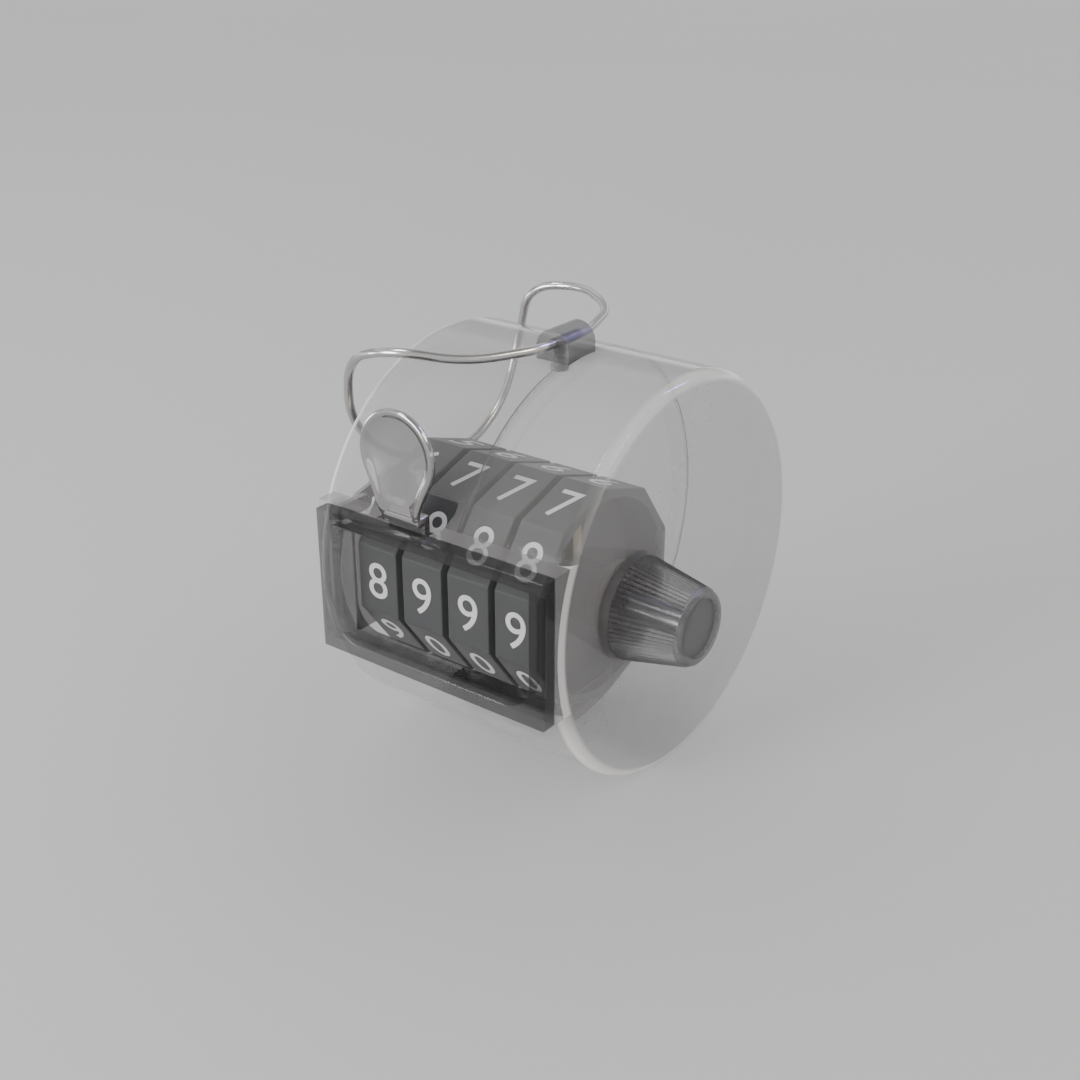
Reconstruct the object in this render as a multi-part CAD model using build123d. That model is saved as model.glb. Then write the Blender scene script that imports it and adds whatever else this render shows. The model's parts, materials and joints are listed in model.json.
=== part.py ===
"""Hand tally counter with a clear drum case, four number wheels and a finger ring.

Millimetres, +Z up. The origin is the centre of the flat left end face of the
drum, the drum's axis is +X, the reading window looks along -Y and the reset
knob stands out of the right end (+X).
"""
import os
from math import cos, hypot, pi, radians, sin, tan

from build123d import *

os.makedirs("parts", exist_ok=True)

# ---------------------------------------------------------------- driving sizes
# fits
RUN_FIT = 0.05           # radial clearance of pins and shafts that turn
SEAT_FIT = 0.1           # round the bezel's spigot and the pane
SIDE_GAP = 0.3           # between neighbours that move past each other
WHEEL_CLEAR = 0.5        # round the turning wheels
OVERCUT = 1.0            # how far a cutting solid runs past the face it opens

# drum case
CASE_R = 22.6            # outer radius of the drum
CASE_W = 32.3            # width of the drum between its flat ends
WALL = 1.2               # drum wall
END_WALL = 1.4           # flat end walls
EDGE_R = 1.4             # rounding of the drum's rims
SEAM_X = 18.7            # where the left and right shells meet
LIP_LENGTH = 1.3         # right shell's lip inside the left shell
LIP_WALL = 0.7
SEAT_PROUD = 0.45        # front seat of the bezel, ahead of the drum

# counting train
WHEEL_COUNT = 4
FACETS = 10
WHEEL_R = 12.0           # over the corners of a ten-sided wheel
WHEEL_RISE = 1.1         # wheel axis above the drum's axis
PANE_GAP = 0.65          # between the wheels' corners and the pane
WHEEL_GAP = 0.8          # between rims, where the pawls reach in
TRAIN_LEFT = 5.6         # left end of the first wheel
TRAIN_END_GAP = 1.1      # between the last wheel and the right bush
RIM_WALL = 1.5
WEB_T = 0.8
HUB_WALL = 1.4
SHAFT_R = 2.0
SHAFT_STEP = 0.5         # the knob's seat is this much smaller in radius
SHAFT_INSET = 0.5        # shaft, pins and rods stop short of the left face
GROOVE_W = 0.9           # reset groove along the shaft
GROOVE_DEPTH = 0.6
SPACER_GAP = 0.1
RATCHET_INSET = 2.0      # ratchet teeth below the wheel's corners
RATCHET_T = 0.4
TOOTH_DEPTH = 1.3
TOOTH_RISE = 0.2         # slope of a tooth's back
TOOTH_FACE_DEG = 4.0
RATCHET_HUB_STEP = 0.8
DOG_T = 1.0              # reset dog
DOG_W = 1.4
DOG_FIT = 0.15
DOG_LIFT = 0.25          # foot of the dog above the shaft
DOG_TIP_GAP = 1.2

# shaft bearings
BUSH_WALL = 1.3
BUSH_INSET = 0.3         # left bush stops short of the left face
FLANGE_STEP = 1.0
FLANGE_T = 0.6

# window
BEZEL_LEFT = 2.8
BEZEL_DROP = 8.05        # bezel's lower edge below the wheel axis
BEZEL_T = 1.8            # how far the bezel stands proud of its seat
BEZEL_SIDE_BAR = 1.9
BEZEL_TOP_BAR = 1.5
CORNER_R = 3.0           # lower corners of the opening
SPIGOT_T = 0.7
SPIGOT_DEPTH = 1.8
PANE_T = 0.5
SIDE_PLATE_T = 0.5       # plate behind the spigot, left of the wheels
SIDE_PLATE_REACH = 9.0   # behind the wheel axis

# thumb lever
PIVOT_RISE = 6.6         # lever's hinge above the wheel axis
PIVOT_DEPTH = 1.2        # lever's hinge behind the bezel's seat
PIVOT_COVER = 0.3        # material left above the barrel's pocket
BARREL_R = 0.85
PIN_R = 0.45
LEVER_X = 13.1           # middle of the thumb plate
PLATE_R = 4.85           # round top of the thumb plate
PLATE_REACH = 14.05      # top of the plate above its hinge
PLATE_LEAN_DEG = 27.0    # how far below its middle the round top turns into the sides
PLATE_FOOT_W = 4.8
PLATE_PROUD = 0.6        # plate's front, ahead of the bezel's seat
PLATE_T = 1.2
FOOT_GAP = 0.35          # under the plate, above the bezel
DISH_DEPTH = 1.0
SLOT_INSET = 0.4         # slot in the drum, narrower than the plate
SLOT_RISE = 3.9          # top of that slot above the hinge
SLOT_SHOULDER = 1.0

# drive between the lever and the wheels
CRANK_LENGTH = 3.6       # lever and driver share it, so the link only shifts
CRANK_T = 0.7
LINK_T = 0.5
LINK_W = 1.6
LINK_GAP = 0.2
PIN_STAND = 0.15         # pins stand out past the link
LINK_REAR = (1.0, 4.8)   # link's bend behind the shaft, from the driver's crank
LINK_FRONT = (-2.6, 7.9)  # link's bend over the shaft, from the wheel axis
ARM_W = 2.6
ARM_HUB_WALL = 1.2
ROD_R = 0.6              # rods that carry the pawl comb and the detent comb
ROD_STANDOFF = 1.6       # rods outside the wheels' corners
PAWL_DEG = 10.0          # direction of the pawl rod from the wheel axis
DETENT_DEG = -62.0       # direction of the detent rod
ROD_PAST = 2.0           # rods run this far past the last ratchet
COMB_TUBE_R = 1.05
COMB_END_GAP = 0.2
TINE_T = 0.3
TINE_ROOT_W = 1.8
TINE_TIP_W = 0.2
TINE_TIP_GAP = 0.35      # tine tips stand off the ratchet teeth
PAWL_TIP_SWEEP = -12.0
DETENT_TIP_SWEEP = 14.0
COIL_GAP = 0.6           # return spring's coil above the shaft
COIL_WIRE_R = 0.13
COIL_PITCH = 0.34
COIL_TURNS = 2
COIL_STAND = 0.25

# reset knob
KNOB_GAP = 0.3           # between the drum's end and the knob
KNOB_BASE_R = 5.7
KNOB_END_R = 4.0
KNOB_LENGTH = 8.4
KNOB_BAND = 0.8          # plain bands before and after the ribs
KNOB_RIBS = 60
RIB_DEPTH = 0.22
KNOB_EDGE_R = 0.7
KNOB_CROWN = 2.0         # solid part of the knob past the shaft's end
CAP_R = 3.1
CAP_T = 0.6
CAP_SINK = 0.5

# lug and finger ring
LUG_W = 4.2
LUG_DEPTH = 4.8
LUG_X = 17.6
LUG_Y = -1.5
LUG_RISE = 3.1           # top of the lug above the drum
RING_RISE = 1.6          # finger ring's hinge line above the drum
RING_WIRE_R = 0.5
RING_BUTT = 0.1          # half the gap between the wire's ends
RIVET_R = 0.6
RIVET_SHIFT = 0.8        # rivet to the left of the lug's middle
RIVET_RISE = 0.6
RIVET_HEAD_STEP = 0.4
RIVET_HEAD_T = 0.5
RIVET_TAIL = 0.7

# ---------------------------------------------------------------- worked out
INNER_R = CASE_R - WALL
SEAT_Y = -(CASE_R + SEAT_PROUD)
AXIS_Y = SEAT_Y + PANE_GAP + WHEEL_R
AXIS_Z = WHEEL_RISE
HUB_R = SHAFT_R + HUB_WALL
BUSH_R = SHAFT_R + BUSH_WALL
RIM_BORE_R = WHEEL_R - RIM_WALL
RATCHET_R = WHEEL_R - RATCHET_INSET
RATCHET_ROOT_R = RATCHET_R - TOOTH_DEPTH
ROD_ORBIT = WHEEL_R + ROD_STANDOFF
FACET_DEG = 360 / FACETS

BUSH_FACE_X = CASE_W - END_WALL - FLANGE_T
TRAIN_RIGHT = BUSH_FACE_X - TRAIN_END_GAP
PITCH = (TRAIN_RIGHT - TRAIN_LEFT + WHEEL_GAP) / WHEEL_COUNT
RIM_W = PITCH - WHEEL_GAP
WHEEL_LEFT = [TRAIN_LEFT + PITCH * k for k in range(WHEEL_COUNT)]
RATCHET_LEFT = [x - (WHEEL_GAP + RATCHET_T) / 2 for x in WHEEL_LEFT]
ROD_END_X = RATCHET_LEFT[-1] + ROD_PAST

PIVOT_Y = SEAT_Y + PIVOT_DEPTH
PIVOT_Z = AXIS_Z + PIVOT_RISE
POCKET_R = BARREL_R + SIDE_GAP
BEZEL_RIGHT = CASE_W
BEZEL_BOTTOM = AXIS_Z - BEZEL_DROP
BEZEL_TOP = PIVOT_Z + POCKET_R + PIVOT_COVER
OPEN_LEFT = BEZEL_LEFT + BEZEL_SIDE_BAR
OPEN_RIGHT = BEZEL_RIGHT - BEZEL_SIDE_BAR
OPEN_BOTTOM = BEZEL_BOTTOM + BEZEL_TOP_BAR
OPEN_TOP = BEZEL_TOP - BEZEL_TOP_BAR
SPIGOT_TOP = PIVOT_Z - POCKET_R

PLATE_FRONT_Y = SEAT_Y - PLATE_PROUD
PLATE_BACK_Y = PLATE_FRONT_Y + PLATE_T
PLATE_TOP = PIVOT_Z + PLATE_REACH
PLATE_Z = PLATE_TOP - PLATE_R
BARREL_END = LEVER_X + PLATE_FOOT_W / 2
CRANK_LEFT = OPEN_LEFT - SPIGOT_T - SIDE_GAP - CRANK_T
CRANK_RIGHT = CRANK_LEFT + CRANK_T
LINK_LEFT = CRANK_LEFT - LINK_GAP - LINK_T
PIN_LEFT = LINK_LEFT - PIN_STAND
PIN_RIGHT = BARREL_END + 2 * OVERCUT
LEVER_CRANK = (PIVOT_Y + CRANK_LENGTH, PIVOT_Z)
DRIVER_CRANK = (AXIS_Y + CRANK_LENGTH, AXIS_Z)

KNOB_START = CASE_W + KNOB_GAP
KNOB_END = KNOB_START + KNOB_LENGTH
SHAFT_END_R = SHAFT_R - SHAFT_STEP
SHAFT_END_X = KNOB_END - KNOB_CROWN
CAP_X = KNOB_END - CAP_SINK - CAP_T

LUG_TOP = CASE_R + LUG_RISE
RING_Z = CASE_R + RING_RISE
RIVET_X = LUG_X - RIVET_SHIFT
RIVET_FOOT = INNER_R - RIVET_TAIL
RIVET_TOP = CASE_R + RIVET_RISE

LOW = (Align.MIN, Align.MIN, Align.MIN)
FOOT = (Align.CENTER, Align.CENTER, Align.MIN)


def save(solid, node):
    """Write one node as STEP."""
    export_step(solid, f"parts/{node}.step")


def polar(radius, degrees):
    """(y, z) at a distance and angle round the wheel axis."""
    turn = radians(degrees)
    return (AXIS_Y + radius * cos(turn), AXIS_Z + radius * sin(turn))


def round_bar(radius, x0, x1, centre=(0.0, 0.0)):
    """Round bar along X, round a (y, z) centre."""
    bar = Cylinder(radius, x1 - x0, align=FOOT)
    return Pos(x0, *centre) * Rot(0, 90, 0) * bar


def wheel_bar(radius, x0, x1):
    """Round bar on the wheel axis."""
    return round_bar(radius, x0, x1, (AXIS_Y, AXIS_Z))


def block(x_range, y_range, z_range):
    """Box between two corners, given as three (low, high) pairs."""
    lows, highs = zip(x_range, y_range, z_range)
    return Pos(*lows) * Box(*(h - l for l, h in zip(lows, highs)), align=LOW)


def plate_x(outline, x0, thickness):
    """Plate lying across X, from an outline of (y, z) points."""
    wire = Polyline([(x0, y, z) for y, z in outline], close=True)
    return extrude(make_face(wire), amount=thickness, dir=(1, 0, 0))


def taper_outline(start, end, start_w, end_w):
    """Straight bar between two (y, z) points, with a width at each."""
    dy, dz = end[0] - start[0], end[1] - start[1]
    length = hypot(dy, dz)
    ny, nz = -dz / length / 2, dy / length / 2
    return [
        (start[0] + ny * start_w, start[1] + nz * start_w),
        (start[0] - ny * start_w, start[1] - nz * start_w),
        (end[0] - ny * end_w, end[1] - nz * end_w),
        (end[0] + ny * end_w, end[1] + nz * end_w),
    ]


def link_bar(points, x0, thickness, width):
    """Flat bar with round ends through a chain of (y, z) points."""
    solid = round_bar(width / 2, x0, x0 + thickness, points[0])
    for start, end in zip(points, points[1:]):
        solid += plate_x(taper_outline(start, end, width, width), x0, thickness)
        solid += round_bar(width / 2, x0, x0 + thickness, end)
    return solid


# ---------------------------------------------------------------- the case
def drum_outside():
    """Drum with rounded rims and the flat seat for the bezel."""
    drum = round_bar(CASE_R, 0, CASE_W)
    drum = fillet(drum.edges().filter_by(GeomType.CIRCLE), EDGE_R)
    return drum + block((EDGE_R, CASE_W), (SEAT_Y, -CASE_R / 2), (BEZEL_BOTTOM, BEZEL_TOP))


def spigot_hole():
    """Opening in the seat that the bezel's spigot plugs into."""
    around = SPIGOT_T + SEAT_FIT
    return block(
        (OPEN_LEFT - around, OPEN_RIGHT + around),
        (SEAT_Y - OVERCUT, -CASE_R / 2),
        (OPEN_BOTTOM - around, SPIGOT_TOP + SEAT_FIT),
    )


def lever_pocket():
    """Room for the lever's barrel and its crank."""
    barrel = round_bar(POCKET_R, CRANK_LEFT - SIDE_GAP, BARREL_END + SIDE_GAP, (PIVOT_Y, PIVOT_Z))
    crank = block(
        (CRANK_LEFT - SIDE_GAP, CRANK_RIGHT + SIDE_GAP),
        (PIVOT_Y, -CASE_R / 2),
        (PIVOT_Z - CRANK_LENGTH, PIVOT_Z + POCKET_R),
    )
    return barrel + crank


def lever_slot():
    """Slot that the thumb lever swings back into."""
    half_foot = PLATE_FOOT_W / 2 + SIDE_GAP
    half_top = PLATE_R - SLOT_INSET
    top = PIVOT_Z + SLOT_RISE
    front = -CASE_R / 2 - OVERCUT
    corners = [
        (-half_foot, PIVOT_Z),
        (half_foot, PIVOT_Z),
        (half_top, top - SLOT_SHOULDER),
        (half_top, top),
        (-half_top, top),
        (-half_top, top - SLOT_SHOULDER),
    ]
    outline = Polyline([(LEVER_X + x, front, z) for x, z in corners], close=True)
    return extrude(make_face(outline), amount=CASE_R / 2, dir=(0, -1, 0))


def case_hollow():
    """Everything that is hollow inside the closed case."""
    inner_left, inner_right = END_WALL, CASE_W - END_WALL
    hollow = round_bar(INNER_R, inner_left, inner_right)
    hollow += wheel_bar(WHEEL_R + WHEEL_CLEAR, inner_left, inner_right)
    hollow += spigot_hole() + lever_pocket() + lever_slot()
    hollow += round_bar(PIN_R, PIN_LEFT, PIN_RIGHT, (PIVOT_Y, PIVOT_Z))
    hollow += wheel_bar(BUSH_R, BUSH_INSET, inner_left + OVERCUT)
    hollow += wheel_bar(BUSH_R, inner_right - OVERCUT, CASE_W + OVERCUT)
    hollow += round_bar(ROD_R, SHAFT_INSET, inner_left + OVERCUT, polar(ROD_ORBIT, DETENT_DEG))
    hollow += Pos(RIVET_X, LUG_Y, RIVET_FOOT) * Cylinder(RIVET_R, LUG_RISE + WALL, align=FOOT)
    return hollow


def seam_lip():
    """Ring inside the seam that centres the shells on each other."""
    lip = round_bar(INNER_R - RUN_FIT, SEAM_X - LIP_LENGTH, SEAM_X)
    lip += round_bar(INNER_R, SEAM_X, SEAM_X + LIP_LENGTH)
    lip -= round_bar(INNER_R - LIP_WALL, SEAM_X - 2 * LIP_LENGTH, SEAM_X + 2 * LIP_LENGTH)
    lip -= wheel_bar(WHEEL_R + WHEEL_CLEAR, 0, CASE_W)
    front = AXIS_Y - WHEEL_R / 2
    lip -= block((0, CASE_W), (-CASE_R, front), (-CASE_R, PIVOT_Z + SLOT_RISE + POCKET_R))
    head_r = RIVET_R + RIVET_HEAD_STEP
    return lip - Pos(RIVET_X, LUG_Y, 0) * Cylinder(head_r, 3 * CASE_R)


def shells():
    """Left and right shells; the right one carries the seam's lip."""
    body = drum_outside() - case_hollow()
    reach = (-2 * CASE_R, 2 * CASE_R)
    left = body & block((-OVERCUT, SEAM_X), reach, reach)
    right = body & block((SEAM_X, CASE_W + OVERCUT), reach, reach)
    return left, right + seam_lip()


def round_lower_corners(solid):
    """Round the two lower corners of a window-shaped block."""
    return fillet(solid.edges().filter_by(Axis.Y).sort_by(Axis.Z)[:2], CORNER_R)


def window_bezel():
    """Dark block frame round the window, with a spigot that plugs the case."""
    across, up = (OPEN_LEFT, OPEN_RIGHT), (OPEN_BOTTOM, OPEN_TOP)
    back = SEAT_Y + SPIGOT_DEPTH
    frame = block((BEZEL_LEFT, BEZEL_RIGHT), (SEAT_Y - BEZEL_T, SEAT_Y), (BEZEL_BOTTOM, BEZEL_TOP))
    spigot = block(
        (OPEN_LEFT - SPIGOT_T, OPEN_RIGHT + SPIGOT_T),
        (SEAT_Y, back),
        (OPEN_BOTTOM - SPIGOT_T, SPIGOT_TOP),
    )
    window = round_lower_corners(block(across, (SEAT_Y - 2 * BEZEL_T, back + OVERCUT), up))
    # the spigot has no top wall, so the number wheels and the lever keep clear
    no_top = block(across, (SEAT_Y, back + OVERCUT), (AXIS_Z, OPEN_TOP))
    return frame + spigot - window - no_top


def window_pane():
    """Clear pane in the back of the bezel's opening."""
    gap = SEAT_FIT / 2
    return round_lower_corners(
        block(
            (OPEN_LEFT + gap, OPEN_RIGHT - gap),
            (SEAT_Y - PANE_T, SEAT_Y),
            (OPEN_BOTTOM + gap, OPEN_TOP - gap),
        )
    )


def side_plate():
    """Plate on the back of the spigot that closes the train's left side."""
    plate = block(
        (OPEN_LEFT - SIDE_PLATE_T, OPEN_LEFT),
        (SEAT_Y + SPIGOT_DEPTH, AXIS_Y + SIDE_PLATE_REACH),
        (OPEN_BOTTOM - SPIGOT_T, SPIGOT_TOP),
    )
    coil_room = SHAFT_R + COIL_GAP + COIL_WIRE_R + SIDE_GAP
    return plate - wheel_bar(coil_room, 0, CASE_W)


def ring_lug():
    """Arched block on top of the drum that the ring hinges in."""
    arch_z = LUG_TOP - LUG_W / 2
    y0 = LUG_Y - LUG_DEPTH / 2
    sides = (LUG_X - LUG_W / 2, LUG_X + LUG_W / 2)
    solid = block(sides, (y0, y0 + LUG_DEPTH), (CASE_R - OVERCUT, arch_z))
    solid += Pos(LUG_X, y0, arch_z) * Rot(-90, 0, 0) * Cylinder(LUG_W / 2, LUG_DEPTH, align=FOOT)
    solid -= round_bar(CASE_R, 0, CASE_W)
    wire_hole = Cylinder(RING_WIRE_R + RUN_FIT, 2 * LUG_DEPTH)
    solid -= Pos(LUG_X, LUG_Y, RING_Z) * Rot(90, 0, 0) * wire_hole
    return solid - rivet_peg()


def rivet_peg():
    """Shank of the rivet that holds the lug."""
    return Pos(RIVET_X, LUG_Y, RIVET_FOOT) * Cylinder(RIVET_R, RIVET_TOP - RIVET_FOOT, align=FOOT)


def lug_rivet():
    """Rivet through the drum's wall, with its head inside."""
    head = Cylinder(RIVET_R + RIVET_HEAD_STEP, RIVET_HEAD_T, align=FOOT)
    return rivet_peg() + Pos(RIVET_X, LUG_Y, RIVET_FOOT) * head


def bushes():
    """Bearings of the main shaft in both end walls; the right one is flanged."""
    bore = wheel_bar(SHAFT_R + RUN_FIT, -OVERCUT, CASE_W + OVERCUT)
    inner_face = CASE_W - END_WALL
    left = wheel_bar(BUSH_R, BUSH_INSET, END_WALL + BUSH_INSET)
    right = wheel_bar(BUSH_R, inner_face, CASE_W)
    right += wheel_bar(BUSH_R + FLANGE_STEP, BUSH_FACE_X, inner_face)
    return left - bore, right - bore


# ---------------------------------------------------------------- counting train
def number_wheel(k):
    """Ten-sided cup wheel, open to the right, with a slotted hub."""
    x0 = WHEEL_LEFT[k]
    x1 = x0 + RIM_W
    corners = [polar(WHEEL_R, FACET_DEG * (i + 0.5)) for i in range(FACETS)]
    solid = plate_x(corners, x0, RIM_W)
    solid -= wheel_bar(RIM_BORE_R, x0 + WEB_T, x1 + OVERCUT)
    solid += wheel_bar(HUB_R, x0, x1)
    solid -= wheel_bar(SHAFT_R + RUN_FIT, x0 - OVERCUT, x1 + OVERCUT)
    half_slot = DOG_W / 2 + DOG_FIT
    return solid - block(
        (x0 + WEB_T, x0 + WEB_T + DOG_T + 2 * DOG_FIT),
        (AXIS_Y - half_slot, AXIS_Y + half_slot),
        (AXIS_Z, AXIS_Z + HUB_R + OVERCUT),
    )


def reset_dog(k):
    """Small catch in a wheel that drops into the shaft's groove at zero."""
    x0 = WHEEL_LEFT[k] + WEB_T
    head_r = 0.75 * DOG_W
    foot = AXIS_Z + SHAFT_R + DOG_LIFT
    head = AXIS_Z + RIM_BORE_R - DOG_TIP_GAP - head_r
    stem = block((x0, x0 + DOG_T), (AXIS_Y - DOG_W / 2, AXIS_Y + DOG_W / 2), (foot, head))
    return stem + round_bar(head_r, x0, x0 + DOG_T, (AXIS_Y, head))


def ratchet(k):
    """Ten-tooth ratchet beside a wheel."""
    x0 = RATCHET_LEFT[k]
    outline = []
    for i in range(FACETS):
        tip = FACET_DEG * i
        outline.append(polar(RATCHET_R, tip))
        outline.append(polar(RATCHET_ROOT_R, tip + TOOTH_FACE_DEG))
        outline.append(polar(RATCHET_ROOT_R + TOOTH_RISE, tip + FACET_DEG / 2))
    solid = plate_x(outline, x0, RATCHET_T)
    solid += wheel_bar(HUB_R + RATCHET_HUB_STEP, x0, WHEEL_LEFT[k])
    return solid - wheel_bar(SHAFT_R + RUN_FIT, x0 - OVERCUT, x0 + WHEEL_GAP + OVERCUT)


def main_shaft():
    """Main shaft with the reset groove and a thinner end for the knob."""
    solid = wheel_bar(SHAFT_R, SHAFT_INSET, KNOB_START)
    solid += wheel_bar(SHAFT_END_R, KNOB_START, SHAFT_END_X)
    top = AXIS_Z + SHAFT_R
    return solid - block(
        (TRAIN_LEFT, TRAIN_RIGHT),
        (AXIS_Y - GROOVE_W / 2, AXIS_Y + GROOVE_W / 2),
        (top - GROOVE_DEPTH, top + OVERCUT),
    )


def shaft_spacer():
    """Sleeve between the units wheel and the right bush."""
    ring = wheel_bar(HUB_R, TRAIN_RIGHT + SPACER_GAP, BUSH_FACE_X - SPACER_GAP)
    return ring - wheel_bar(SHAFT_R, 0, CASE_W)


def rib_section(x, radius):
    """Fluted outline of the knob at one station."""
    points = []
    for i in range(2 * KNOB_RIBS):
        ridge = radius - RIB_DEPTH * (i % 2)
        points.append((x, *polar(ridge, 180 / KNOB_RIBS * i)))
    return make_face(Polyline(points, close=True))


def reset_knob():
    """Tapered reset knob with fine straight ribs and a recessed end."""
    slope = (KNOB_BASE_R - KNOB_END_R) / KNOB_LENGTH
    ribs_start = KNOB_START + KNOB_BAND
    ribs_end = KNOB_END - KNOB_BAND
    base = rib_section(ribs_start, KNOB_BASE_R - slope * KNOB_BAND)
    tip = rib_section(ribs_end, KNOB_END_R + slope * KNOB_BAND)
    band = wheel_bar(KNOB_BASE_R - slope * KNOB_BAND / 2, KNOB_START, ribs_start)
    end = wheel_bar(KNOB_END_R, ribs_end, KNOB_END)
    end = fillet(end.edges().filter_by(GeomType.CIRCLE).sort_by(Axis.X)[-1], KNOB_EDGE_R)
    solid = band + loft([base, tip], ruled=True) + end
    solid -= wheel_bar(CAP_R, CAP_X, KNOB_END + OVERCUT)
    return solid - wheel_bar(SHAFT_END_R, KNOB_START - OVERCUT, SHAFT_END_X)


# ---------------------------------------------------------------- lever and drive
def thumb_plate():
    """Dished teardrop plate: a round top that narrows to the foot."""
    half_foot = PLATE_FOOT_W / 2
    foot_z = BEZEL_TOP + FOOT_GAP
    lean = radians(PLATE_LEAN_DEG)
    top = (LEVER_X, PLATE_BACK_Y, PLATE_TOP)
    left_foot = (LEVER_X - half_foot, PLATE_BACK_Y, foot_z)
    right_foot = (LEVER_X + half_foot, PLATE_BACK_Y, foot_z)
    left = (LEVER_X - PLATE_R * cos(lean), PLATE_BACK_Y, PLATE_Z - PLATE_R * sin(lean))
    right = (LEVER_X + PLATE_R * cos(lean), PLATE_BACK_Y, PLATE_Z - PLATE_R * sin(lean))
    crown = ThreePointArc(left, top, right)
    left_side = TangentArc(left, left_foot, tangent=(sin(lean), 0, -cos(lean)))
    right_side = TangentArc(right, right_foot, tangent=(-sin(lean), 0, -cos(lean)))
    edge = Curve() + [crown, left_side, Line(left_foot, right_foot), right_side]
    plate = extrude(make_face(edge), amount=PLATE_T, dir=(0, -1, 0))
    dish = scale(Sphere(1), by=(0.8 * PLATE_R, DISH_DEPTH, 1.08 * PLATE_R))
    return plate - Pos(LEVER_X, PLATE_FRONT_Y, PLATE_Z - SIDE_GAP) * dish


def thumb_lever():
    """Thumb plate on a hinge barrel behind the bezel's top bar."""
    half_foot = PLATE_FOOT_W / 2
    foot_z = BEZEL_TOP + FOOT_GAP
    foot_x = (LEVER_X - half_foot, LEVER_X + half_foot)
    stem_back = PIVOT_Y + BARREL_R / 2
    solid = thumb_plate()
    solid += block(foot_x, (PLATE_FRONT_Y, stem_back), (foot_z, foot_z + PLATE_T))
    solid += block(foot_x, (SEAT_Y + SIDE_GAP, stem_back), (PIVOT_Z, foot_z + PLATE_T))
    solid += round_bar(BARREL_R, CRANK_RIGHT, BARREL_END, (PIVOT_Y, PIVOT_Z))
    return solid - round_bar(PIN_R + RUN_FIT, 0, CASE_W, (PIVOT_Y, PIVOT_Z))


def lever_crank():
    """Crank at the left end of the lever's barrel."""
    pivot = (PIVOT_Y, PIVOT_Z)
    solid = link_bar([pivot, LEVER_CRANK], CRANK_LEFT, CRANK_T, 2 * BARREL_R)
    solid -= round_bar(PIN_R + RUN_FIT, 0, CASE_W, pivot)
    return solid - round_bar(PIN_R, 0, CASE_W, LEVER_CRANK)


def drive_link():
    """Bent link between the two cranks; it bows over the main shaft."""
    rear = (DRIVER_CRANK[0] + LINK_REAR[0], DRIVER_CRANK[1] + LINK_REAR[1])
    front = (AXIS_Y + LINK_FRONT[0], AXIS_Z + LINK_FRONT[1])
    solid = link_bar([DRIVER_CRANK, rear, front, LEVER_CRANK], LINK_LEFT, LINK_T, LINK_W)
    for at in (DRIVER_CRANK, LEVER_CRANK):
        solid -= round_bar(PIN_R + RUN_FIT, 0, CASE_W, at)
    return solid


def driver_arm():
    """Arm that swings on the main shaft and carries the pawl rod."""
    tip = polar(ROD_ORBIT, PAWL_DEG)
    solid = link_bar([(AXIS_Y, AXIS_Z), tip], CRANK_LEFT, CRANK_T, ARM_W)
    solid += wheel_bar(SHAFT_R + ARM_HUB_WALL, CRANK_LEFT, CRANK_RIGHT)
    solid += round_bar(PIN_R + ARM_HUB_WALL / 2, CRANK_LEFT, CRANK_RIGHT, DRIVER_CRANK)
    solid -= wheel_bar(SHAFT_R + RUN_FIT, 0, CASE_W)
    solid -= round_bar(PIN_R, 0, CASE_W, DRIVER_CRANK)
    return solid - round_bar(ROD_R, 0, CASE_W, tip)


def crank_pin(at):
    """Pin pressed into a crank for the link to turn on."""
    return round_bar(PIN_R, PIN_LEFT, CRANK_RIGHT, at)


def comb(rod_deg, sweep_deg, bore_r):
    """Comb of thin tines on a tube, one tine in each gap between the wheels."""
    centre = polar(ROD_ORBIT, rod_deg)
    tip = polar(RATCHET_R + TINE_TIP_GAP, rod_deg + sweep_deg)
    blade = taper_outline(centre, tip, TINE_ROOT_W, TINE_TIP_W)
    tube_left = TRAIN_LEFT - WHEEL_GAP - SIDE_GAP
    solid = round_bar(COMB_TUBE_R, tube_left, ROD_END_X - COMB_END_GAP, centre)
    for left in RATCHET_LEFT:
        solid += plate_x(blade, left + (RATCHET_T - TINE_T) / 2, TINE_T)
    return solid - round_bar(bore_r, 0, CASE_W, centre)


def comb_rod(x0, degrees):
    """Rod along the back of the wheels."""
    return round_bar(ROD_R, x0, ROD_END_X, polar(ROD_ORBIT, degrees))


def return_spring():
    """Torsion coil round the shaft, beside the driver arm."""
    path = Helix(pitch=COIL_PITCH, height=COIL_TURNS * COIL_PITCH, radius=SHAFT_R + COIL_GAP)
    section = Plane(origin=path @ 0, z_dir=path % 0) * Circle(COIL_WIRE_R)
    coil = sweep(section, path=path)
    return Pos(CRANK_RIGHT + COIL_STAND, AXIS_Y, AXIS_Z) * Rot(0, 90, 0) * coil


# ---------------------------------------------------------------- finger ring
# bends of the wire as (x, y, height above the hinge line)
RING_BENDS = [
    (LUG_X, 2.6, 0.0),
    (14.6, 10.9, -0.1),
    (7.7, 15.4, 0.3),
    (1.1, 13.6, -0.4),
    (-1.5, 15.0, -7.4),
    (-1.7, 12.3, -14.8),
    (-1.6, 5.5, -18.8),
    (-1.5, -2.6, -17.7),
    (-1.5, -9.6, -14.9),
    (-1.6, -14.7, -9.5),
    (0.0, -16.2, -1.7),
    (7.7, -17.9, 1.0),
    (13.6, -13.1, -0.3),
    (LUG_X, -6.4, 0.0),
]
BEND_SHARE = 0.45        # part of the shorter run that an arc may use


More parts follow.
